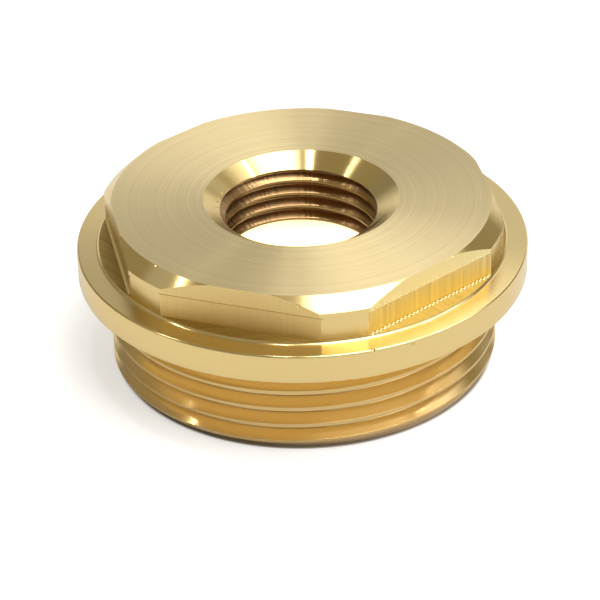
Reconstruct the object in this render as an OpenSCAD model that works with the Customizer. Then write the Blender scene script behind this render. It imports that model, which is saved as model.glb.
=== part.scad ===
// Reducing plug for pipe fittings, turned and milled from one piece of brass.
// From below: a skirt with a male pipe thread, a collar that presses on a gasket,
// and a hexagon head with a female pipe thread down its middle.
// The origin is on the axis at the lower end, and +Z points up to the head.

/* [Hexagon head] */
// Distance across the flats, which is the spanner size
across_flats = 46; // [44:0.5:48]
// Diameter of the turned head, which leaves a round land at each corner
head_d = 50; // [49:0.5:51.5]
// Height of the head above the collar
head_h = 5.6; // [5:0.1:9]
// Width of the chamfer round the top face, measured inwards
top_chamfer_w = 1.7; // [0.8:0.1:2.4]
// Height of the chamfer round the top face
top_chamfer_h = 1.6; // [0.8:0.1:2.4]
// Height at which the milled flats stop above the collar
flat_foot = 0.3; // [0.15:0.05:0.6]
// Depth of the second milling pass below the first
mill_step = 0.08; // [0.04:0.01:0.2]
// Height of the band below the top face that only the first pass cuts
first_pass_h = 2.2; // [1.6:0.1:3]
// Radius of the fillet between the head and the collar
head_fillet = 0.4; // [0.2:0.05:0.8]

/* [Collar] */
// Diameter of the collar
collar_d = 55.5; // [53.5:0.5:60]
// Thickness of the collar
collar_h = 3.7; // [3:0.1:6]
// Edge break at the collar's rim, above and below
collar_edge = 0.25; // [0.1:0.05:0.6]

/* [Male thread] */
// Outer diameter of the male thread, size one and a half
male_major_d = 47.803; // [47:0.001:48]
// Distance from crest to crest, eleven to the inch
male_pitch = 2.309; // [1.5:0.001:3]
// Length of the skirt below the collar
male_len = 12; // [9:0.1:20]
// Height of the lowest crest above the lower end
male_first_crest = 1.38; // [1.3:0.01:2]
// Lead chamfer at the lower end, at 45 degrees
male_lead = 1; // [0.6:0.1:1.2]

/* [Female thread] */
// Root diameter of the female thread, size one half
female_major_d = 20.955; // [20:0.001:21.5]
// Distance from crest to crest, fourteen to the inch
female_pitch = 1.814; // [1:0.001:2]
// Diameter of the countersink at the top face
countersink_d = 24; // [22:0.1:28]
// Depth of the countersink down to the thread's crest
countersink_h = 1.7; // [1.2:0.05:2.5]

/* [Hollow] */
// Diameter of the hollow inside the skirt
hollow_d = 40; // [34:0.5:42]
// Thickness of the metal that holds the female thread, from the hollow to the top face
web_h = 9; // [8:0.1:12]
// Radius in the hollow's upper corner
hollow_corner = 0.8; // [0.4:0.1:1.5]
// Chamfer at the hollow's mouth, at 45 degrees
hollow_mouth = 0.6; // [0.3:0.1:1]

/* [Hidden] */

$fn = 96;
brass = [0.83, 0.68, 0.38];

// A pipe thread's flanks lean 27.5 degrees, so its depth follows from its pitch,
// and each crest and each root is a sixth of the pitch wide.
depth_per_pitch = 0.640327;
male_crest_r = male_major_d / 2;
male_root_r = male_crest_r - depth_per_pitch * male_pitch;
female_root_r = female_major_d / 2;
female_crest_r = female_root_r - depth_per_pitch * female_pitch;

head_r = head_d / 2;
collar_r = collar_d / 2;
collar_z = male_len;
head_z = collar_z + collar_h;
top_z = head_z + head_h;
web_z = top_z - web_h;
bore_top_z = top_z - countersink_h;
flat_z = head_z + flat_foot;
first_pass_z = top_z - first_pass_h;

male_crests = floor((male_len - male_first_crest - male_pitch / 2) / male_pitch) + 1;
female_grooves = floor((bore_top_z - web_z) / female_pitch);
female_first_groove = bore_top_z - (female_grooves - 0.5) * female_pitch;

// How far a cutter runs past the metal that it cuts
past = 1;

// One tooth of a thread in section. It is pitch wide at the radius foot_r, a sixth
// of that at tip_r, and its middle is at height z. A tip inside the foot is a groove
// of a female thread seen from its crest.
module thread_tooth(foot_r, tip_r, pitch, z) {
    flat = pitch / 12;
    polygon([
        [foot_r, z - pitch / 2 + flat],
        [tip_r, z - flat],
        [tip_r, z + flat],
        [foot_r, z + pitch / 2 - flat]
    ]);
}

// Everything that the lathe turns outside, as one section
module turned_section() {
    // skirt up to the thread's root
    square([male_root_r, collar_z + past]);
    // thread crests
    for (k = [0 : male_crests - 1])
        thread_tooth(male_root_r, male_crest_r, male_pitch, male_first_crest + k * male_pitch);
    // collar with its edge breaks
    polygon([
        [0, collar_z],
        [collar_r - collar_edge, collar_z],
        [collar_r, collar_z + collar_edge],
        [collar_r, head_z - collar_edge],
        [collar_r - collar_edge, head_z],
        [0, head_z]
    ]);
    // round head with the chamfer round its top face
    polygon([
        [0, collar_z],
        [head_r, collar_z],
        [head_r, top_z - top_chamfer_h],
        [head_r - top_chamfer_w, top_z],
        [0, top_z]
    ]);
    // fillet where the head stands on the collar
    difference() {
        translate([head_r - past, head_z - past])
            square(head_fillet + past);
        translate([head_r + head_fillet, head_z + head_fillet])
            circle(r = head_fillet);
    }
}

// The blank as it leaves the lathe, before milling and boring
module turned_blank() {
    lead_r = male_crest_r - male_lead;
    intersection() {
        rotate_extrude() turned_section();
        // the lead chamfer trims the lowest crest
        rotate_extrude()
            polygon([
                [0, 0],
                [lead_r, 0],
                [lead_r + collar_z, collar_z],
                [lead_r + collar_z, top_z],
                [0, top_z]
            ]);
    }
}

// What the end mill takes away at one flat. Its first pass leaves the flat at the
// spanner size, and its second cuts a little deeper below the upper band.
module flat_cut() {
    run = head_d + 2 * past;
    translate([across_flats / 2, -run / 2, flat_z])
        cube([head_d, run, head_h]);
    translate([across_flats / 2 - mill_step, -run / 2, flat_z])
        cube([head_d, run, first_pass_z - flat_z]);
}

// Everything that is bored out from above and below, as one section
module bored_section() {
    hollow_r = hollow_d / 2;
    // hollow inside the skirt, with a round upper corner
    difference() {
        square([hollow_r, web_z]);
        translate([hollow_r - hollow_corner, web_z - hollow_corner])
            difference() {
                square(hollow_corner + past);
                circle(r = hollow_corner);
            }
    }
    // run-out below the lower end
    translate([0, -past]) square([hollow_r, 2 * past]);
    // mouth chamfer
    polygon([
        [hollow_r - past, -past],
        [hollow_r + hollow_mouth + past, -past],
        [hollow_r, hollow_mouth],
        [hollow_r - past, hollow_mouth]
    ]);
    // bore through the crests of the female thread
    translate([0, web_z - past]) square([female_crest_r, web_h + 2 * past]);
    // thread grooves
    for (k = [0 : female_grooves - 1])
        thread_tooth(female_crest_r, female_root_r, female_pitch, female_first_groove + k * female_pitch);
    // countersink
    polygon([
        [0, bore_top_z],
        [female_crest_r, bore_top_z],
        [countersink_d / 2, top_z],
        [countersink_d / 2, top_z + past],
        [0, top_z + past]
    ]);
}

module plug_body() {
    color(brass)
        difference() {
            turned_blank();
            for (k = [0 : 5])
                rotate([0, 0, 60 * k]) flat_cut();
            rotate_extrude() bored_section();
        }
}

plug_body();
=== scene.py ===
"""Looks of a one-piece brass reducing plug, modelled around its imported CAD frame.

The plug is made here the way the real one is: a turned blank, a male thread cut in the
skirt, a hollow and a bore, a female thread in the bore, and six flats milled on the head.
Each tool leaves its own finish on the metal that it cuts.
"""

import logging
import math
from collections.abc import Callable, Iterator
from contextlib import contextmanager
from dataclasses import dataclass, field
from enum import Enum

import bmesh
import bpy
from mathutils import Matrix, Vector


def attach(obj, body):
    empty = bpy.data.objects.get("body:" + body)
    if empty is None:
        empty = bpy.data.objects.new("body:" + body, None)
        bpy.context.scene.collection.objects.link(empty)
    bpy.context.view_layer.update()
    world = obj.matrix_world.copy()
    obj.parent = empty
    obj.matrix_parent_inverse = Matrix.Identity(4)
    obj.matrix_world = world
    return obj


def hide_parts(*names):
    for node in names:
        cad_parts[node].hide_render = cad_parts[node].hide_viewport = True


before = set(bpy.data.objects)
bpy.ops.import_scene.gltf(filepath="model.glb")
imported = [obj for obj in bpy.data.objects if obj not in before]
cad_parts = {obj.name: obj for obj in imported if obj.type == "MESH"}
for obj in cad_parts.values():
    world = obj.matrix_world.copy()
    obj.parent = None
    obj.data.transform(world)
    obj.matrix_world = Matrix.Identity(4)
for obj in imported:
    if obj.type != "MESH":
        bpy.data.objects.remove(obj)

log = logging.getLogger("reducing_plug")

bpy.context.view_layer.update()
MM = 0.001
FULL_TURN = 2 * math.pi
# Steps round a full turn in every turned or threaded surface
TURN_STEPS = 360
# Points closer than this are one point
MERGE = 0.001 * MM


def select_only(piece: bpy.types.Object) -> None:
    """Deselects everything and makes one object the selected and active one."""
    bpy.ops.object.select_all(action="DESELECT")
    piece.select_set(True)
    bpy.context.view_layer.objects.active = piece


@contextmanager
def editing(piece: bpy.types.Object) -> Iterator[None]:
    """Holds one object in edit mode, with nothing selected at the start.

    Args:
        piece: the mesh object to edit.
    """
    select_only(piece)
    bpy.ops.object.mode_set(mode="EDIT")
    bpy.ops.mesh.select_mode(type="VERT")
    bpy.ops.mesh.select_all(action="DESELECT")
    yield
    bpy.ops.object.mode_set(mode="OBJECT")


def select_points(piece: bpy.types.Object, wanted: Callable[[Vector], bool]) -> None:
    """Selects the points of a mesh in edit mode by their place.

    Args:
        piece: the mesh object that is being edited.
        wanted: says of a point, in millimetres, whether it is selected.
    """
    mesh = bmesh.from_edit_mesh(piece.data)
    for point in mesh.verts:
        point.select = wanted(point.co / MM)
    mesh.select_flush_mode()
    bmesh.update_edit_mesh(piece.data)


def apply_modifier(piece: bpy.types.Object, kind: str, **settings: object) -> None:
    """Adds a modifier with its settings and applies it.

    Args:
        piece: the object that is changed.
        kind: Blender's name of the modifier's type.
        settings: the modifier's properties.
    """
    select_only(piece)
    modifier = piece.modifiers.new(kind.title(), kind)
    for name, value in settings.items():
        setattr(modifier, name, value)
    bpy.ops.object.modifier_apply(modifier=modifier.name)


def combine(piece: bpy.types.Object, other: bpy.types.Object, operation: str) -> None:
    """Joins another solid to a piece or cuts it away, and removes the other solid.

    Args:
        piece: the solid that stays.
        other: the solid that is joined on or cut away, whose faces keep their finish.
        operation: UNION or DIFFERENCE.
    """
    apply_modifier(
        piece,
        "BOOLEAN",
        operation=operation,
        object=other,
        solver="MANIFOLD",
        material_mode="TRANSFER",
    )
    bpy.data.objects.remove(other)


@dataclass(frozen=True)
class Corner:
    """A corner of a turned section, at a radius and a height in millimetres."""

    r: float
    z: float
    round_r: float = 0.0


def rounding_reach(before: Corner, corner: Corner, after: Corner) -> float:
    """Gives how far from a corner its rounding starts, in millimetres.

    Args:
        before: the corner before it on the section.
        corner: the corner that is rounded.
        after: the corner after it.

    Returns:
        The distance from the corner to where the arc touches each side.
    """
    arriving = Vector((corner.r - before.r, corner.z - before.z))
    leaving = Vector((after.r - corner.r, after.z - corner.z))
    return corner.round_r * math.tan(arriving.angle(leaving) / 2)


def draw_section(name: str, corners: list[Corner], closed: bool) -> bpy.types.Object:
    """Draws a section in the XZ plane by extruding a point from corner to corner.

    Args:
        name: the name of the new object.
        corners: the corners in order.
        closed: whether the last corner is joined to the first.

    Returns:
        The new object, made of edges only.
    """
    bpy.ops.object.select_all(action="DESELECT")
    bpy.ops.mesh.primitive_plane_add(size=MM, location=(0, 0, 0))
    section = bpy.context.object
    section.name = name
    bpy.ops.object.mode_set(mode="EDIT")
    bpy.ops.mesh.select_mode(type="VERT")
    bpy.ops.mesh.merge(type="CENTER")
    bpy.ops.transform.translate(value=(corners[0].r * MM, 0, corners[0].z * MM))
    for here, there in zip(corners, corners[1:]):
        step = ((there.r - here.r) * MM, 0, (there.z - here.z) * MM)
        bpy.ops.mesh.extrude_vertices_move(TRANSFORM_OT_translate={"value": step})
    if closed:
        bpy.ops.mesh.select_all(action="SELECT")
        bpy.ops.mesh.edge_face_add()
        bpy.ops.mesh.delete(type="ONLY_FACE")
    bpy.ops.object.mode_set(mode="OBJECT")
    return section


def turn_solid(name: str, corners: list[Corner], finish: bpy.types.Material) -> bpy.types.Object:
    """Spins a section that runs from the axis back to the axis into a closed solid.

    Args:
        name: the name of the new object.
        corners: the section's corners from the lower end of the axis to the upper one.
        finish: the material of the whole surface.

    Returns:
        The turned solid.
    """
    solid = draw_section(name, corners, closed=False)
    arc_steps = 6
    with editing(solid):
        for before, corner, after in zip(corners, corners[1:], corners[2:]):
            if not corner.round_r:
                continue
            place = Vector((corner.r, 0, corner.z))
            select_points(solid, lambda point: (point - place).length < 0.01)
            bpy.ops.mesh.bevel(
                offset=rounding_reach(before, corner, after) * MM,
                offset_type="OFFSET",
                segments=arc_steps,
                affect="VERTICES",
                clamp_overlap=False,
            )
        bpy.ops.mesh.select_all(action="SELECT")
        bpy.ops.mesh.spin(steps=TURN_STEPS, angle=FULL_TURN, center=(0, 0, 0), axis=(0, 0, 1))
        bpy.ops.mesh.select_all(action="SELECT")
        bpy.ops.mesh.remove_doubles(threshold=MERGE)
        bpy.ops.mesh.normals_make_consistent(inside=False)
    solid.data.materials.append(finish)
    return solid


def linear_colour(sheet_hex: str) -> tuple[float, float, float, float]:
    """Turns an sRGB hex colour such as E6D29A into linear red, green, blue and alpha.

    Args:
        sheet_hex: six hex digits.

    Returns:
        The linear colour with an alpha of one.
    """
    shares = [int(sheet_hex[k : k + 2], 16) / 255 for k in (0, 2, 4)]
    linear = [s / 12.92 if s <= 0.04045 else ((s + 0.055) / 1.055) ** 2.4 for s in shares]
    return (*linear, 1.0)


def add_node(
    tree: bpy.types.NodeTree, kind: str, inputs: dict | None = None, **settings: object
) -> bpy.types.Node:
    """Adds a node with its settings and links.

    Args:
        tree: the node tree that gets it.
        kind: Blender's name of the node's type.
        inputs: a value, or a socket to link from, for each input by name or number.
        settings: the node's own properties.

    Returns:
        The new node.
    """
    node = tree.nodes.new(kind)
    for name, value in settings.items():
        setattr(node, name, value)
    for name, value in (inputs or {}).items():
        if isinstance(value, bpy.types.NodeSocket):
            tree.links.new(value, node.inputs[name])
        else:
            node.inputs[name].default_value = value
    return node


def new_material(name: str) -> tuple[bpy.types.Material, bpy.types.NodeTree]:
    """Makes an empty node material and gives it with its tree."""
    material = bpy.data.materials.new(name)
    material.use_nodes = True
    material.node_tree.nodes.clear()
    return material, material.node_tree


def math_node(
    tree: bpy.types.NodeTree, operation: str, *values: float | bpy.types.NodeSocket
) -> bpy.types.NodeSocket:
    """Adds a Math node and gives its result.

    Args:
        tree: the node tree that gets it.
        operation: Blender's name of the sum.
        values: its values or the sockets to link from.

    Returns:
        The result's socket.
    """
    return add_node(tree, "ShaderNodeMath", dict(enumerate(values)), operation=operation).outputs[0]


def object_place(tree: bpy.types.NodeTree) -> list[bpy.types.NodeSocket]:
    """Gives the three parts of a point's place on the plug, in metres."""
    place = add_node(tree, "ShaderNodeTexCoord").outputs["Object"]
    return list(add_node(tree, "ShaderNodeSeparateXYZ", {0: place}).outputs)


def axis_distance(tree: bpy.types.NodeTree) -> bpy.types.NodeSocket:
    """Gives a point's distance from the plug's axis, in metres."""
    x, y, _ = object_place(tree)
    square = math_node(tree, "MULTIPLY_ADD", x, x, math_node(tree, "MULTIPLY", y, y))
    return math_node(tree, "SQRT", square)


@dataclass(frozen=True)
class CutBrass:
    """Bright free-cutting brass as a lathe tool leaves it, with fine marks round the axis.

    The marks spread each reflection across them and keep it sharp along them, which gives a
    turned wall its soft upright bands and a faced end its rays.
    """

    name: str
    colour: str = "E7CB87"
    # Spread of a reflection across the marks and along them
    across: float = 0.1
    along: float = 0.02
    mark_mm: float = 0.25
    mark_depth_mm: float = 0.004
    # Share by which the brass is darker in the depth of a mark: painted shade in the marks' hollows
    shade: float = 0.0

    def lay(self, tree: bpy.types.NodeTree) -> bpy.types.NodeSocket:
        """Gives the direction that the marks run in."""
        place = add_node(tree, "ShaderNodeTexCoord").outputs["Object"]
        return add_node(
            tree, "ShaderNodeVectorMath", {0: (0, 0, 1), 1: place}, operation="CROSS_PRODUCT"
        ).outputs[0]

    def next_mark(self, tree: bpy.types.NodeTree) -> bpy.types.NodeSocket:
        """Gives a length that grows from one mark to the next, in metres."""
        # Radius less height changes across a wall, a face and a chamfer alike
        return math_node(tree, "SUBTRACT", axis_distance(tree), object_place(tree)[2])

    def material(self) -> bpy.types.Material:
        """Builds the node material and returns it."""
        material, tree = new_material(self.name)
        marks = add_node(
            tree,
            "ShaderNodeTexNoise",
            {"W": self.next_mark(tree), "Scale": 1 / (self.mark_mm * MM), "Detail": 3.0},
            noise_dimensions="1D",
        ).outputs[0]
        bump = add_node(
            tree,
            "ShaderNodeBump",
            {"Height": marks, "Strength": 1.0, "Distance": self.mark_depth_mm * MM},
        )
        # The depth of each mark gets a darker copy of the colour, which is painted shade
        bright = linear_colour(self.colour)
        dark = [part * (1 - self.shade) for part in bright[:3]] + [1.0]
        tone = add_node(tree, "ShaderNodeMix", {0: marks, 6: dark, 7: bright}, data_type="RGBA")
        shader = add_node(
            tree,
            "ShaderNodeBsdfPrincipled",
            {
                "Base Color": tone.outputs[2],
                "Metallic": 1.0,
                "Roughness": (self.across * self.along) ** 0.25,
                "Anisotropic": (1 - self.along / self.across) / 0.9,
                "Anisotropic Rotation": 0.25,
                "Tangent": self.lay(tree),
                "Normal": bump.outputs[0],
            },
        )
        add_node(tree, "ShaderNodeOutputMaterial", {"Surface": shader.outputs[0]})
        return material


@dataclass(frozen=True)
class MilledBrass(CutBrass):
    """Bright brass cut by the side of an end mill, whose marks stand upright on each flat."""

    def flat_axes(self, tree: bpy.types.NodeTree) -> tuple[bpy.types.NodeSocket, bpy.types.NodeSocket]:
        """Gives the length along the nearest flat and the distance of its plane from the axis."""
        x, y, _ = object_place(tree)
        sixth = FULL_TURN / 6
        turned = math_node(tree, "DIVIDE", math_node(tree, "ARCTAN2", y, x), sixth)
        facing = math_node(tree, "MULTIPLY", math_node(tree, "ROUND", turned), sixth)
        cosine = math_node(tree, "COSINE", facing)
        sine = math_node(tree, "SINE", facing)
        along = math_node(tree, "SUBTRACT", math_node(tree, "MULTIPLY", y, cosine), math_node(tree, "MULTIPLY", x, sine))
        out = math_node(tree, "MULTIPLY_ADD", x, cosine, math_node(tree, "MULTIPLY", y, sine))
        return along, out

    def lay(self, tree: bpy.types.NodeTree) -> bpy.types.NodeSocket:
        """Gives the upright direction, which the mill's marks run in."""
        return add_node(tree, "ShaderNodeCombineXYZ", {2: 1.0}).outputs[0]

    def next_mark(self, tree: bpy.types.NodeTree) -> bpy.types.NodeSocket:
        """Gives the length along the flat, in metres."""
        return self.flat_axes(tree)[0]


@dataclass(frozen=True)
class LedgeBrass(MilledBrass):
    """Bright brass cut by the end of the mill, which leaves an arc at each step of its feed."""

    mill_r: float = 8.0
    flat_out: float = 23.0

    def lay(self, tree: bpy.types.NodeTree) -> bpy.types.NodeSocket:
        """Gives the way round the axis, which is close to the arcs' own."""
        return CutBrass.lay(self, tree)

    def next_mark(self, tree: bpy.types.NodeTree) -> bpy.types.NodeSocket:
        """Gives the place of the arc along the flat, in metres."""
        along, out = self.flat_axes(tree)
        aside = math_node(tree, "SUBTRACT", out, (self.flat_out + self.mill_r) * MM)
        square = math_node(tree, "MULTIPLY", aside, aside)
        reach = math_node(tree, "SQRT", math_node(tree, "SUBTRACT", (self.mill_r * MM) ** 2, square))
        return math_node(tree, "ADD", along, reach)


@dataclass(frozen=True)
class TappedBrass(CutBrass):
    """Brass cut by a tap that chattered, which leaves fine ribs across the thread."""

    mean_r: float = 9.9

    def next_mark(self, tree: bpy.types.NodeTree) -> bpy.types.NodeSocket:
        """Gives the length round the bore, in metres."""
        x, y, _ = object_place(tree)
        return math_node(tree, "MULTIPLY", math_node(tree, "ARCTAN2", y, x), self.mean_r * MM)


def finishes() -> dict[str, bpy.types.Material]:
    """Makes the finish that each tool leaves."""
    kinds = {
        "turned": CutBrass("brass_turned", "E8CE90", across=0.08, along=0.015),
        # Top face: a paler brass than the walls, which is a painted highlight for the whitened reflections on the
        # face
        "faced": CutBrass("brass_faced_painted_highlight", "F1DAA3", 0.17, 0.02, mark_mm=0.4, mark_depth_mm=0.008, shade=0.2),
        "milled": MilledBrass("brass_milled", "F1D798", 0.25, 0.27, mark_mm=0.4, shade=0.1),
        "smooth": MilledBrass("brass_smooth", "ECD090", 0.08, 0.06, mark_mm=0.4, shade=0.1),
        # Upper band of the chattered flat: the rough marks are real, and the paler, brighter colour than the other
        # flats is painted light
        "chattered": MilledBrass("brass_chattered_painted_light", "F8E6AC", 0.25, 0.2, mark_mm=0.4, shade=0.1),
        # Pits: a near-white, smooth brass, which is painted glints for the bright beads on the chattered flat
        "pitted": CutBrass("brass_pitted_painted_glint", "FFF3CC", across=0.08, along=0.06),
        "fluted": MilledBrass("brass_fluted", "F9DE90", 0.2, 0.12, mark_mm=0.65, mark_depth_mm=0.06, shade=0.45),
        # Ledge under each flat: a darker brass than the flats, which is painted shade, with dark arcs of painted
        # shade in the mill's marks
        "ledge": LedgeBrass("brass_ledge_painted_shade", "C9A85C", 0.3, 0.1, mark_mm=1.3, mark_depth_mm=0.08, shade=0.6),
        "threaded": CutBrass("brass_threaded", "E6C88C", across=0.05, along=0.01, mark_mm=0.1, mark_depth_mm=0.001),
        "crest": CutBrass("brass_crest", "DDBC80", across=0.1, along=0.03),
        # Female thread: a darker, browner brass than the rest, which is painted shade for the dimness inside the
        # bore
        "tapped": TappedBrass("brass_tapped_painted_shade", "BC9868", 0.09, 0.03, mark_mm=0.5, mark_depth_mm=0.035, shade=0.35),
        "bored": CutBrass("brass_bored", "EACF8E", 0.14, 0.012, mark_mm=0.4, shade=0.08),
        # Lead chamfer and lowest crest: the rougher finish is real, and the greyer colour is painted shade for the
        # dark rim at the foot
        "lead": CutBrass("brass_lead_painted_shade", "DCC8A6", across=0.35, along=0.3),
    }
    return {tool: kind.material() for tool, kind in kinds.items()}


class Side(Enum):
    """Which way a thread's groove deepens: towards the axis or away from it."""

    MALE = -1
    FEMALE = 1


@dataclass
class PipeThread:
    """A right-hand parallel pipe thread, cut by sweeping its groove's section along a helix."""

    name: str
    side: Side
    major_d: float
    pitch: float
    # Height of one crest where the helix crosses the XZ plane on the +X side
    crest_z: float
    depth_per_pitch: float = 0.640327
    crest_round: float = 0.1
    past: float = 0.5

    @property
    def depth(self) -> float:
        """Depth from crest to root."""
        return self.depth_per_pitch * self.pitch

    @property
    def crest_r(self) -> float:
        """Radius of the crests."""
        major_r = self.major_d / 2
        return major_r if self.side is Side.MALE else major_r - self.depth

    @property
    def root_r(self) -> float:
        """Radius of the roots."""
        return self.crest_r + self.side.value * self.depth

    def half_section(self) -> list[Corner]:
        """Gives the upper half of the groove's section, from its root outwards.

        Returns:
            Corners measured from the middle of the groove. The root is a full arc, and the
            edge of each crest is rounded where the groove opens.
        """
        flank = math.radians(27.5)
        inwards = -self.side.value
        root_round = 0.137329 * self.pitch
        arc_steps = 4
        section = []
        root_centre_r = self.root_r + inwards * root_round
        for k in range(arc_steps):
            turned = (math.pi / 2 - flank) * (k + 0.5) / arc_steps
            section.append(
                Corner(
                    root_centre_r - inwards * root_round * math.cos(turned),
                    root_round * math.sin(turned),
                )
            )
        opening = self.pitch * 5 / 12
        reach = self.crest_round * math.tan((math.pi / 2 - flank) / 2)
        for k in range(arc_steps + 1):
            turned = (math.pi / 2 - flank) * (1 - k / arc_steps)
            section.append(
                Corner(
                    self.crest_r - inwards * self.crest_round * (1 - math.cos(turned)),
                    opening + reach - self.crest_round * math.sin(turned),
                )
            )
        section.append(Corner(self.crest_r + inwards * self.past, opening + reach))
        return section

    def groove(self, low_z: float, high_z: float, finish: bpy.types.Material) -> bpy.types.Object:
        """Makes the solid that the threading tool cuts away.

        Args:
            low_z: height that the groove starts below.
            high_z: height that the groove ends above.
            finish: the material that the tool leaves.

        Returns:
            The groove as a closed solid.
        """
        upper = self.half_section()
        lower = [Corner(corner.r, -corner.z) for corner in reversed(upper)]
        tool = draw_section(self.name, lower + upper, closed=True)
        middle_z = self.crest_z + self.pitch / 2
        start_z = middle_z - math.ceil((middle_z - low_z) / self.pitch + 0.5) * self.pitch
        turns = math.ceil((high_z - start_z) / self.pitch + 0.5)
        apply_modifier(
            tool,
            "SCREW",
            axis="Z",
            angle=FULL_TURN * turns,
            screw_offset=self.pitch * MM * turns,
            steps=TURN_STEPS * turns,
            render_steps=TURN_STEPS * turns,
            use_smooth_shade=False,
        )
        with editing(tool):
            bpy.ops.mesh.select_non_manifold()
            bpy.ops.mesh.edge_face_add()
            bpy.ops.mesh.select_all(action="SELECT")
            bpy.ops.mesh.normals_make_consistent(inside=False)
            bpy.ops.transform.translate(value=(0, 0, start_z * MM))
        tool.data.materials.clear()
        tool.data.materials.append(finish)
        return tool


@dataclass
class HexagonHead:
    """Six flats that an end mill cuts on the turned head, in two passes."""

    across_flats: float = 46.0
    foot_z: float = 16.0
    step_z: float = 19.1
    step_depth: float = 0.08
    # A fine line that the mill's corner scores along the step
    score_h: float = 0.12
    score_depth: float = 0.1
    top_z: float = 21.3
    half_width: float = 11.0
    past: float = 1.0
    # Small hollows that a chattering mill leaves at each step of its feed
    feed: float = 0.65
    pit_r: float = 0.23
    pit_reach: float = 9.4
    bead_w: float = 0.22

    def flat_tool(
        self,
        turned_by: float,
        scored: bool,
        wall: bpy.types.Material,
        below: bpy.types.Material,
        ledge: bpy.types.Material,
    ) -> bpy.types.Object:
        """Makes the solid that the mill cuts away at one flat.

        Args:
            turned_by: angle of the flat's normal from +X, in radians.
            scored: whether the mill's corner scores a line along the step.
            wall: the material that the first pass leaves.
            below: the material that the second pass leaves.
            ledge: the material that the mill's end leaves at the foot.

        Returns:
            The cut as a closed solid.
        """
        flat_x = self.across_flats / 2
        thick = 3.5
        high = self.top_z + self.past
        bpy.ops.object.select_all(action="DESELECT")
        bpy.ops.mesh.primitive_cube_add(
            size=1,
            location=((flat_x + thick / 2) * MM, 0, (self.foot_z + high) / 2 * MM),
            scale=(thick * MM, 2 * self.half_width * MM, (high - self.foot_z) * MM),
        )
        tool = bpy.context.object
        bpy.ops.object.transform_apply(location=True, rotation=True, scale=True)
        with editing(tool):
            # The cube is split at the step, and its inner side goes deeper below it
            score_z = self.step_z - self.score_h
            cuts = [(self.step_z, self.foot_z, self.step_depth)]
            if scored:
                cuts.append((score_z, score_z, self.score_depth))
            for split_z, low_z, depth in cuts:
                bpy.ops.mesh.select_mode(type="VERT")
                bpy.ops.mesh.select_all(action="SELECT")
                bpy.ops.mesh.bisect(
                    plane_co=(0, 0, split_z * MM), plane_no=(0, 0, 1), threshold=MERGE
                )
                inner_x = min(point.co.x for point in bmesh.from_edit_mesh(tool.data).verts) / MM
                select_points(
                    tool,
                    lambda p: p.x < inner_x + 0.01 and low_z - 0.01 < p.z < self.step_z + 0.01,
                )
                bpy.ops.mesh.select_mode(type="FACE")
                bpy.ops.mesh.extrude_region_move(
                    TRANSFORM_OT_translate={"value": (-depth * MM, 0, 0)}
                )
        for finish in (wall, below, ledge):
            tool.data.materials.append(finish)
        for face in tool.data.polygons:
            if face.normal.z < -0.9 and face.center.z < (self.foot_z + 0.01) * MM:
                face.material_index = 2
            elif face.center.z < self.step_z * MM:
                face.material_index = 1
        with editing(tool):
            bpy.ops.mesh.select_all(action="SELECT")
            bpy.ops.transform.rotate(
                value=-turned_by, orient_axis="Z", center_override=(0, 0, 0)
            )
            bpy.ops.mesh.normals_make_consistent(inside=False)
        return tool

    def pits(self, turned_by: float, finish: bpy.types.Material) -> bpy.types.Object:
        """Makes the two rows of small balls that pit one flat, at its step and at its foot.

        Args:
            turned_by: angle of the flat's normal from +X, in radians.
            finish: the material that is left.

        Returns:
            All balls as one object.
        """
        bpy.ops.object.select_all(action="DESELECT")
        bpy.ops.mesh.primitive_ico_sphere_add(
            subdivisions=3,
            radius=self.pit_r * MM,
            location=(self.across_flats / 2 * MM, -self.pit_reach * MM, self.foot_z * MM),
        )
        balls = bpy.context.object
        bpy.ops.object.transform_apply(location=True)
        count = round(2 * self.pit_reach / self.feed) + 1
        apply_modifier(
            balls,
            "ARRAY",
            count=count,
            use_relative_offset=False,
            use_constant_offset=True,
            constant_offset_displace=(0, self.feed * MM, 0),
        )
        apply_modifier(
            balls,
            "ARRAY",
            count=2,
            use_relative_offset=False,
            use_constant_offset=True,
            constant_offset_displace=(0.1 * MM, 0, (self.step_z + self.pit_r / 2 - self.foot_z) * MM),
        )
        with editing(balls):
            bpy.ops.mesh.select_all(action="SELECT")
            bpy.ops.transform.rotate(
                value=-turned_by, orient_axis="Z", center_override=(0, 0, 0)
            )
        balls.data.materials.append(finish)
        return balls


    def bead(self, turned_by: float, finish: bpy.types.Material) -> bpy.types.Object:
        """Makes the narrow bead that the mill leaves along the foot of one flat.

        Args:
            turned_by: angle of the flat's normal from +X, in radians.
            finish: the material that is left.

        Returns:
            The bead as a closed solid, which overlaps the head.
        """
        inner_x = self.across_flats / 2 - 0.5
        outer_x = self.across_flats / 2 - self.step_depth + self.bead_w
        bpy.ops.object.select_all(action="DESELECT")
        bpy.ops.mesh.primitive_cube_add(
            size=1,
            location=((inner_x + outer_x) / 2 * MM, 0, self.foot_z * MM),
            scale=((outer_x - inner_x) * MM, 2 * self.pit_reach * MM, 2 * self.bead_w * MM),
        )
        bar = bpy.context.object
        bpy.ops.object.transform_apply(location=True, rotation=True, scale=True)
        with editing(bar):
            bpy.ops.mesh.select_all(action="SELECT")
            bpy.ops.transform.rotate(
                value=-turned_by, orient_axis="Z", center_override=(0, 0, 0)
            )
        bar.data.materials.append(finish)
        return bar


@dataclass(frozen=True)
class Nick:
    """A small dent on an edge, placed by radius, angle from +X in degrees, and height."""

    r: float
    turned: float
    z: float
    size: float


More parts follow.
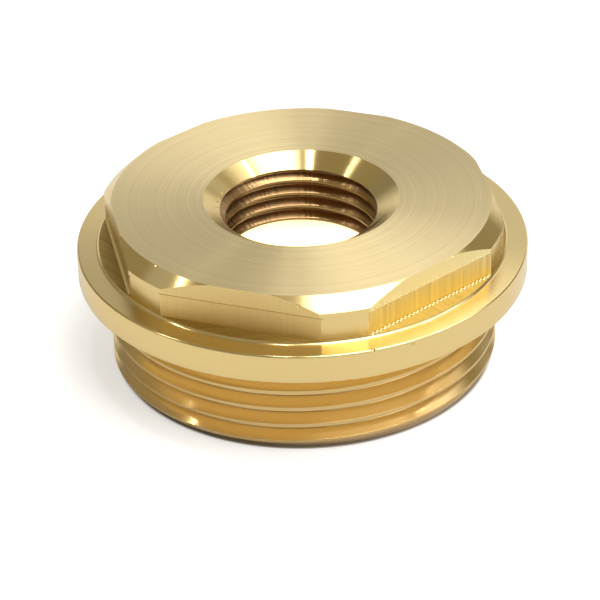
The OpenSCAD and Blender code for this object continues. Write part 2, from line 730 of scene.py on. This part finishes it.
@dataclass
class ReducingPlug:
    """The whole plug: collar and head, skirt, two threads, hollow and flats."""

    turned: bpy.types.Material
    faced: bpy.types.Material
    milled: bpy.types.Material
    smooth: bpy.types.Material
    chattered: bpy.types.Material
    pitted: bpy.types.Material
    fluted: bpy.types.Material
    ledge: bpy.types.Material
    threaded: bpy.types.Material
    crest: bpy.types.Material
    tapped: bpy.types.Material
    bored: bpy.types.Material
    lead: bpy.types.Material
    collar_d: float = 55.5
    collar_z: float = 12.0
    collar_round: float = 0.25
    head_d: float = 50.0
    head_z: float = 15.7
    head_fillet: float = 0.4
    top_z: float = 21.3
    chamfer_w: float = 1.7
    chamfer_h: float = 1.6
    lead_h: float = 1.0
    # Height below which the skirt takes the lead finish, which is painted shade
    painted_shade_h: float = 1.2
    hollow_r: float = 20.0
    hollow_z: float = 12.3
    hollow_round: float = 0.8
    mouth: float = 0.6
    countersink_r: float = 12.0
    countersink_h: float = 1.7
    past: float = 1.0
    male: PipeThread = field(
        default_factory=lambda: PipeThread("male_groove", Side.MALE, 47.803, 2.309, 6.648, crest_round=0.04)
    )
    female: PipeThread = field(
        default_factory=lambda: PipeThread("female_groove", Side.FEMALE, 20.955, 1.814, 14.272)
    )
    hexagon: HexagonHead = field(default_factory=HexagonHead)
    # The flat that the mill chattered on, and the one that it left smoothest, from +X
    chatter_flat: int = 5
    smooth_flat: int = 3
    nicks: tuple[Nick, ...] = (
        # Rim of the top face and its chamfer
        Nick(23.3, 189.6, 21.3, 0.22),
        Nick(23.3, 211.0, 21.3, 0.22),
        Nick(23.4, 251.5, 21.2, 0.18),
        Nick(24.2, 257.5, 20.4, 0.2),
        Nick(23.3, 308.8, 21.3, 0.2),
        # Countersink, at its rim and where the thread runs out
        Nick(12.0, 158.7, 21.3, 0.15),
        Nick(12.0, 168.9, 21.3, 0.2),
        Nick(12.0, 184.0, 21.3, 0.15),
        Nick(12.0, 196.6, 21.3, 0.15),
        Nick(10.3, 150.0, 20.2, 0.18),
        Nick(10.3, 157.0, 20.2, 0.2),
        Nick(10.4, 163.0, 20.2, 0.18),
        Nick(10.4, 170.0, 20.2, 0.2),
        Nick(12.0, 292.5, 21.3, 0.15),
        # Collar
        Nick(27.6, 275.7, 15.65, 0.25),
        Nick(27.75, 286.1, 15.2, 0.15),
        Nick(27.65, 265.5, 12.0, 0.25),
        Nick(27.65, 269.6, 12.0, 0.25),
    )

    def turn_head(self) -> bpy.types.Object:
        """Turns the collar and the round head as one solid, and faces its top."""
        collar_r = self.collar_d / 2
        head_r = self.head_d / 2
        head = turn_solid(
            "plug",
            [
                Corner(0, self.collar_z),
                Corner(collar_r, self.collar_z, self.collar_round),
                Corner(collar_r, self.head_z, self.collar_round),
                Corner(head_r, self.head_z, self.head_fillet),
                Corner(head_r, self.top_z - self.chamfer_h),
                Corner(head_r - self.chamfer_w, self.top_z),
                Corner(0, self.top_z),
            ],
            self.turned,
        )
        head.data.materials.append(self.faced)
        for face in head.data.polygons:
            if face.center.z > (self.top_z - 0.01) * MM:
                face.material_index = 1
        return head

    def turn_skirt(self) -> bpy.types.Object:
        """Turns the skirt with its lead chamfer and cuts the male thread in it."""
        crest_r = self.male.crest_r
        neck_r = self.male.root_r - 0.03
        last_crest = self.collar_z - self.male.pitch / 2 - 0.23
        flat = self.male.pitch / 12
        skirt = turn_solid(
            "skirt",
            [
                Corner(0, 0),
                Corner(crest_r - self.lead_h, 0),
                Corner(crest_r, self.lead_h),
                Corner(crest_r, last_crest + flat),
                Corner(neck_r, last_crest + self.male.pitch / 2 - flat),
                Corner(neck_r, self.collar_z + self.past),
                Corner(0, self.collar_z + self.past),
            ],
            self.crest,
        )
        skirt.data.materials.append(self.lead)
        combine(skirt, self.male.groove(0, self.collar_z, self.threaded), "DIFFERENCE")
        # The lowest crest is trimmed away to the lead chamfer's finish, whose greyer colour is painted shade for
        # the dark rim at the plug's foot
        for face in skirt.data.polygons:
            out = math.hypot(face.center.x, face.center.y)
            if face.center.z < self.painted_shade_h * MM and out > self.hollow_r * MM:
                face.material_index = 1
        return skirt

    def boring_tool(self) -> bpy.types.Object:
        """Makes the solid that is bored out: hollow, bore and countersink."""
        bore_r = self.female.crest_r
        cone_slope = (self.countersink_r - bore_r) / self.countersink_h
        return turn_solid(
            "boring",
            [
                Corner(0, -self.past),
                Corner(self.hollow_r + self.mouth + self.past, -self.past),
                Corner(self.hollow_r, self.mouth),
                Corner(self.hollow_r, self.hollow_z, self.hollow_round),
                Corner(bore_r, self.hollow_z),
                Corner(bore_r, self.top_z - self.countersink_h),
                Corner(self.countersink_r + cone_slope * self.past, self.top_z + self.past),
                Corner(0, self.top_z + self.past),
            ],
            self.bored,
        )

    def dent(self, plug: bpy.types.Object) -> None:
        """Knocks the small nicks into the plug's edges."""
        balls = []
        for nick in self.nicks:
            turned = math.radians(nick.turned)
            place = (nick.r * math.cos(turned), nick.r * math.sin(turned), nick.z)
            bpy.ops.object.select_all(action="DESELECT")
            bpy.ops.mesh.primitive_ico_sphere_add(
                subdivisions=2, radius=nick.size * MM, location=[part * MM for part in place]
            )
            bpy.ops.object.transform_apply(location=True)
            balls.append(bpy.context.object)
        for ball in balls:
            ball.select_set(True)
        bpy.ops.object.join()
        dents = bpy.context.object
        dents.data.materials.append(self.turned)
        combine(plug, dents, "DIFFERENCE")

    def build(self) -> bpy.types.Object:
        """Makes the plug in the order of its machining.

        Returns:
            The finished piece, riding on the frame.
        """
        plug = self.turn_head()
        for k in range(6):
            finish = (self.milled, self.milled, self.ledge)
            if k == self.chatter_flat:
                finish = (self.chattered, self.fluted, self.fluted)
            elif k == self.smooth_flat:
                finish = (self.smooth, self.smooth, self.ledge)
            scored = k != self.chatter_flat
            combine(plug, self.hexagon.flat_tool(k * FULL_TURN / 6, scored, *finish), "DIFFERENCE")
        # The pits take the near-white finish, which is painted glints
        pits = self.hexagon.pits(self.chatter_flat * FULL_TURN / 6, self.pitted)
        combine(plug, pits, "DIFFERENCE")
        # The bead is real, and its brighter chattered colour is a painted highlight that gives a pale line along
        # the foot
        bead = self.hexagon.bead(self.smooth_flat * FULL_TURN / 6, self.chattered)
        combine(plug, bead, "UNION")
        combine(plug, self.turn_skirt(), "UNION")
        combine(plug, self.boring_tool(), "DIFFERENCE")
        combine(plug, self.female.groove(self.hollow_z, self.top_z, self.tapped), "DIFFERENCE")
        self.dent(plug)
        select_only(plug)
        bpy.ops.object.shade_smooth_by_angle(angle=math.radians(20))
        plug.name = "plug_dressed"
        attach(plug, "root")
        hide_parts("plug_body")
        return plug


@dataclass(frozen=True)
class Softbox:
    """A soft lamp: its direction in degrees, its size and distance in metres."""

    name: str
    azimuth: float
    elevation: float
    width: float
    height: float
    distance: float
    brightness: float
    roll: float = 0.0


@dataclass(frozen=True)
class Glow:
    """A soft round patch of light in the room: its direction, reach and edge in degrees."""

    azimuth: float
    elevation: float
    core: float
    edge: float
    level: float


@dataclass
class Studio:
    """The pale floor, the soft light and the camera, with sizes in millimetres."""

    distance: float = 380.0
    lens: float = 182.8
    azimuth: float = -10.916
    elevation: float = 31.291
    aim_height: float = 6.541
    aim_side: float = -0.448
    roll: float = -1.361
    room_level: float = 0.33
    glows: tuple[Glow, ...] = (
        Glow(azimuth=180, elevation=15, core=12, edge=38, level=0.75),
        Glow(azimuth=152, elevation=10, core=6, edge=18, level=0.95),
        Glow(azimuth=-152, elevation=10, core=6, edge=18, level=0.9),
        Glow(azimuth=-152, elevation=33, core=7, edge=20, level=0.27),
        Glow(azimuth=-96, elevation=36, core=4, edge=10, level=0.55),
        Glow(azimuth=-38, elevation=31, core=8, edge=20, level=0.42),
        Glow(azimuth=84, elevation=30, core=10, edge=24, level=1.1),
        Glow(azimuth=142, elevation=32, core=4, edge=12, level=0.58),
        Glow(azimuth=64, elevation=50, core=27, edge=44, level=1.5),
        Glow(azimuth=163, elevation=47, core=6, edge=18, level=1.9),
        Glow(azimuth=45, elevation=64, core=16, edge=20.5, level=5.0),
        Glow(azimuth=78, elevation=73, core=13, edge=17, level=5.0),
        Glow(azimuth=22, elevation=31, core=5, edge=13, level=0.75),
    )
    softboxes: tuple[Softbox, ...] = (
        Softbox("left_strip", -94, 52.3, 0.022, 0.31, 0.7, 19.0, roll=38),
        Softbox("right_strip", 107, 58, 0.025, 0.1, 0.7, 30.0, roll=-56),
        Softbox("side_strip", 92, 43, 0.012, 0.3, 0.7, 35.0, roll=10),
        Softbox("top_lamp", -50, 82.5, 0.05, 0.05, 0.7, 60.0),
    )

    def camera(self) -> None:
        """Places the camera at the photograph's viewing angle."""
        a, e = math.radians(self.azimuth), math.radians(self.elevation)
        back = Vector((math.sin(a) * math.cos(e), -math.cos(a) * math.cos(e), math.sin(e)))
        side = Vector((math.cos(a), math.sin(a), 0))
        up = back.cross(side)
        aim = side * self.aim_side + Vector((0, 0, self.aim_height))
        turn = Matrix((side, up, back)).transposed() @ Matrix.Rotation(math.radians(self.roll), 3, "Z")
        data = bpy.data.cameras.new("camera")
        data.lens = self.lens
        data.sensor_width = 36.0
        eye = bpy.data.objects.new("camera", data)
        eye.matrix_world = Matrix.Translation((aim + back * self.distance) * MM) @ turn.to_4x4()
        data.clip_start, data.clip_end = 0.01, 20.0
        bpy.context.scene.collection.objects.link(eye)
        bpy.context.scene.camera = eye

    def floor(self) -> None:
        """Lays a pale floor that reads as white, keeps the plug's soft shadow and has a painted contact shadow
        under the lead chamfer.
        """
        bpy.ops.object.select_all(action="DESELECT")
        bpy.ops.mesh.primitive_plane_add(size=4.0, location=(0, 0, 0))
        floor = bpy.context.object
        floor.name = "floor"
        material, tree = new_material("floor_paper")
        seen = add_node(tree, "ShaderNodeLightPath").outputs["Is Camera Ray"]
        # Painted shadow: the paper is darker and doesn't glow in a narrow ring under the lead chamfer
        outside_painted_shadow = add_node(
            tree,
            "ShaderNodeMapRange",
            {"Value": axis_distance(tree), "From Min": 23.1 * MM, "From Max": 23.7 * MM},
            interpolation_type="SMOOTHSTEP",
        ).outputs[0]
        tone = add_node(
            tree,
            "ShaderNodeMix",
            {0: outside_painted_shadow, 6: linear_colour("A39B90"), 7: linear_colour("D9D9D9")},
            data_type="RGBA",
        ).outputs[2]
        paper = add_node(tree, "ShaderNodeBsdfDiffuse", {"Color": tone})
        glow = add_node(
            tree,
            "ShaderNodeEmission",
            {"Color": (1, 1, 1, 1), "Strength": math_node(tree, "MULTIPLY", outside_painted_shadow, 0.5)},
        )
        both = add_node(tree, "ShaderNodeAddShader", {0: paper.outputs[0], 1: glow.outputs[0]})
        shown = add_node(
            tree,
            "ShaderNodeMixShader",
            {0: seen, 1: paper.outputs[0], 2: both.outputs[0]},
        )
        add_node(tree, "ShaderNodeOutputMaterial", {"Surface": shown.outputs[0]})
        floor.data.materials.append(material)

    def direction(self, azimuth: float, elevation: float) -> Vector:
        """Gives a direction from the plug, with its azimuth measured from the camera's side.

        Args:
            azimuth: degrees to the right of the camera, seen from the camera.
            elevation: degrees above the floor.

        Returns:
            The unit vector in the frame.
        """
        a, e = math.radians(self.azimuth + azimuth), math.radians(elevation)
        return Vector((math.sin(a) * math.cos(e), -math.cos(a) * math.cos(e), math.sin(e)))

    def world(self) -> None:
        """Surrounds the plug with a dim room that holds large soft patches of light."""
        world = bpy.data.worlds.new("studio")
        world.use_nodes = True
        tree = world.node_tree
        tree.nodes.clear()
        place = add_node(tree, "ShaderNodeTexCoord").outputs["Generated"]
        # The dim room is warm, and the light patches are white
        light = [self.room_level * part for part in linear_colour("FFF3CE")[:3]] + [1.0]
        for glow in self.glows:
            toward = add_node(
                tree,
                "ShaderNodeVectorMath",
                {0: place, 1: self.direction(glow.azimuth, glow.elevation)},
                operation="DOT_PRODUCT",
            )
            share = add_node(
                tree,
                "ShaderNodeMapRange",
                {
                    "Value": toward.outputs["Value"],
                    "From Min": math.cos(math.radians(glow.edge)),
                    "From Max": math.cos(math.radians(glow.core)),
                },
                interpolation_type="SMOOTHSTEP",
            )
            light = add_node(
                tree,
                "ShaderNodeMix",
                {0: share.outputs[0], 6: light, 7: (glow.level, glow.level, glow.level, 1.0)},
                data_type="RGBA",
            ).outputs[2]
        room = add_node(tree, "ShaderNodeBackground", {"Color": light, "Strength": 1.0})
        add_node(tree, "ShaderNodeOutputWorld", {"Surface": room.outputs[0]})
        bpy.context.scene.world = world

    def area_lamp(
        self, name: str, width: float, height: float, brightness: float
    ) -> bpy.types.Object:
        """Adds an oval area lamp at the origin, shining down.

        Args:
            name: the lamp's name.
            width: its size along X, in metres.
            height: its size along Y, in metres.
            brightness: how bright it looks beside white paper, which is one.

        Returns:
            The lamp, which the camera doesn't see.
        """
        data = bpy.data.lights.new(name, "AREA")
        data.shape = "ELLIPSE"
        data.size = width
        data.size_y = height
        data.energy = brightness * math.pi * (math.pi * width * height / 4)
        lamp = bpy.data.objects.new(name, data)
        lamp.visible_camera = False
        bpy.context.scene.collection.objects.link(lamp)
        return lamp

    def lamps(self) -> None:
        """Hangs the soft lamps round the plug."""
        for box in self.softboxes:
            lamp = self.area_lamp(box.name, box.width, box.height, box.brightness)
            back = self.direction(box.azimuth, box.elevation)
            turn = back.to_track_quat("Z", "Y").to_matrix() @ Matrix.Rotation(math.radians(box.roll), 3, "Z")
            lamp.matrix_world = Matrix.Translation(back * box.distance) @ turn.to_4x4()

    def light_below(self) -> None:
        """Lets the paper light the hollow, so that the bore shows white as in the photo."""
        for name, away, width, depth, brightness in (
            ("light_below", 0.0, 36.0, 36.0, 0.35),
            ("light_behind", 13.5, 14.0, 8.0, 5.5),
        ):
            lamp = self.area_lamp(name, width * MM, depth * MM, brightness)
            lamp.location = self.direction(180, 0) * away * MM + Vector((0, 0, 0.4 * MM))
            lamp.rotation_euler = (math.pi, 0, math.radians(self.azimuth))

    def build(self) -> None:
        """Sets up camera, floor and light."""
        self.camera()
        self.floor()
        self.world()
        self.lamps()
        self.light_below()
        bpy.context.scene.view_settings.view_transform = "Standard"


def main() -> None:
    """Builds the studio and the plug."""
    logging.basicConfig(level=logging.INFO)
    Studio().build()
    log.info("studio: camera, floor and light")
    plug = ReducingPlug(**finishes()).build()
    log.info("%s: %d faces", plug.name, len(plug.data.polygons))


if __name__ == "__main__":
    main()
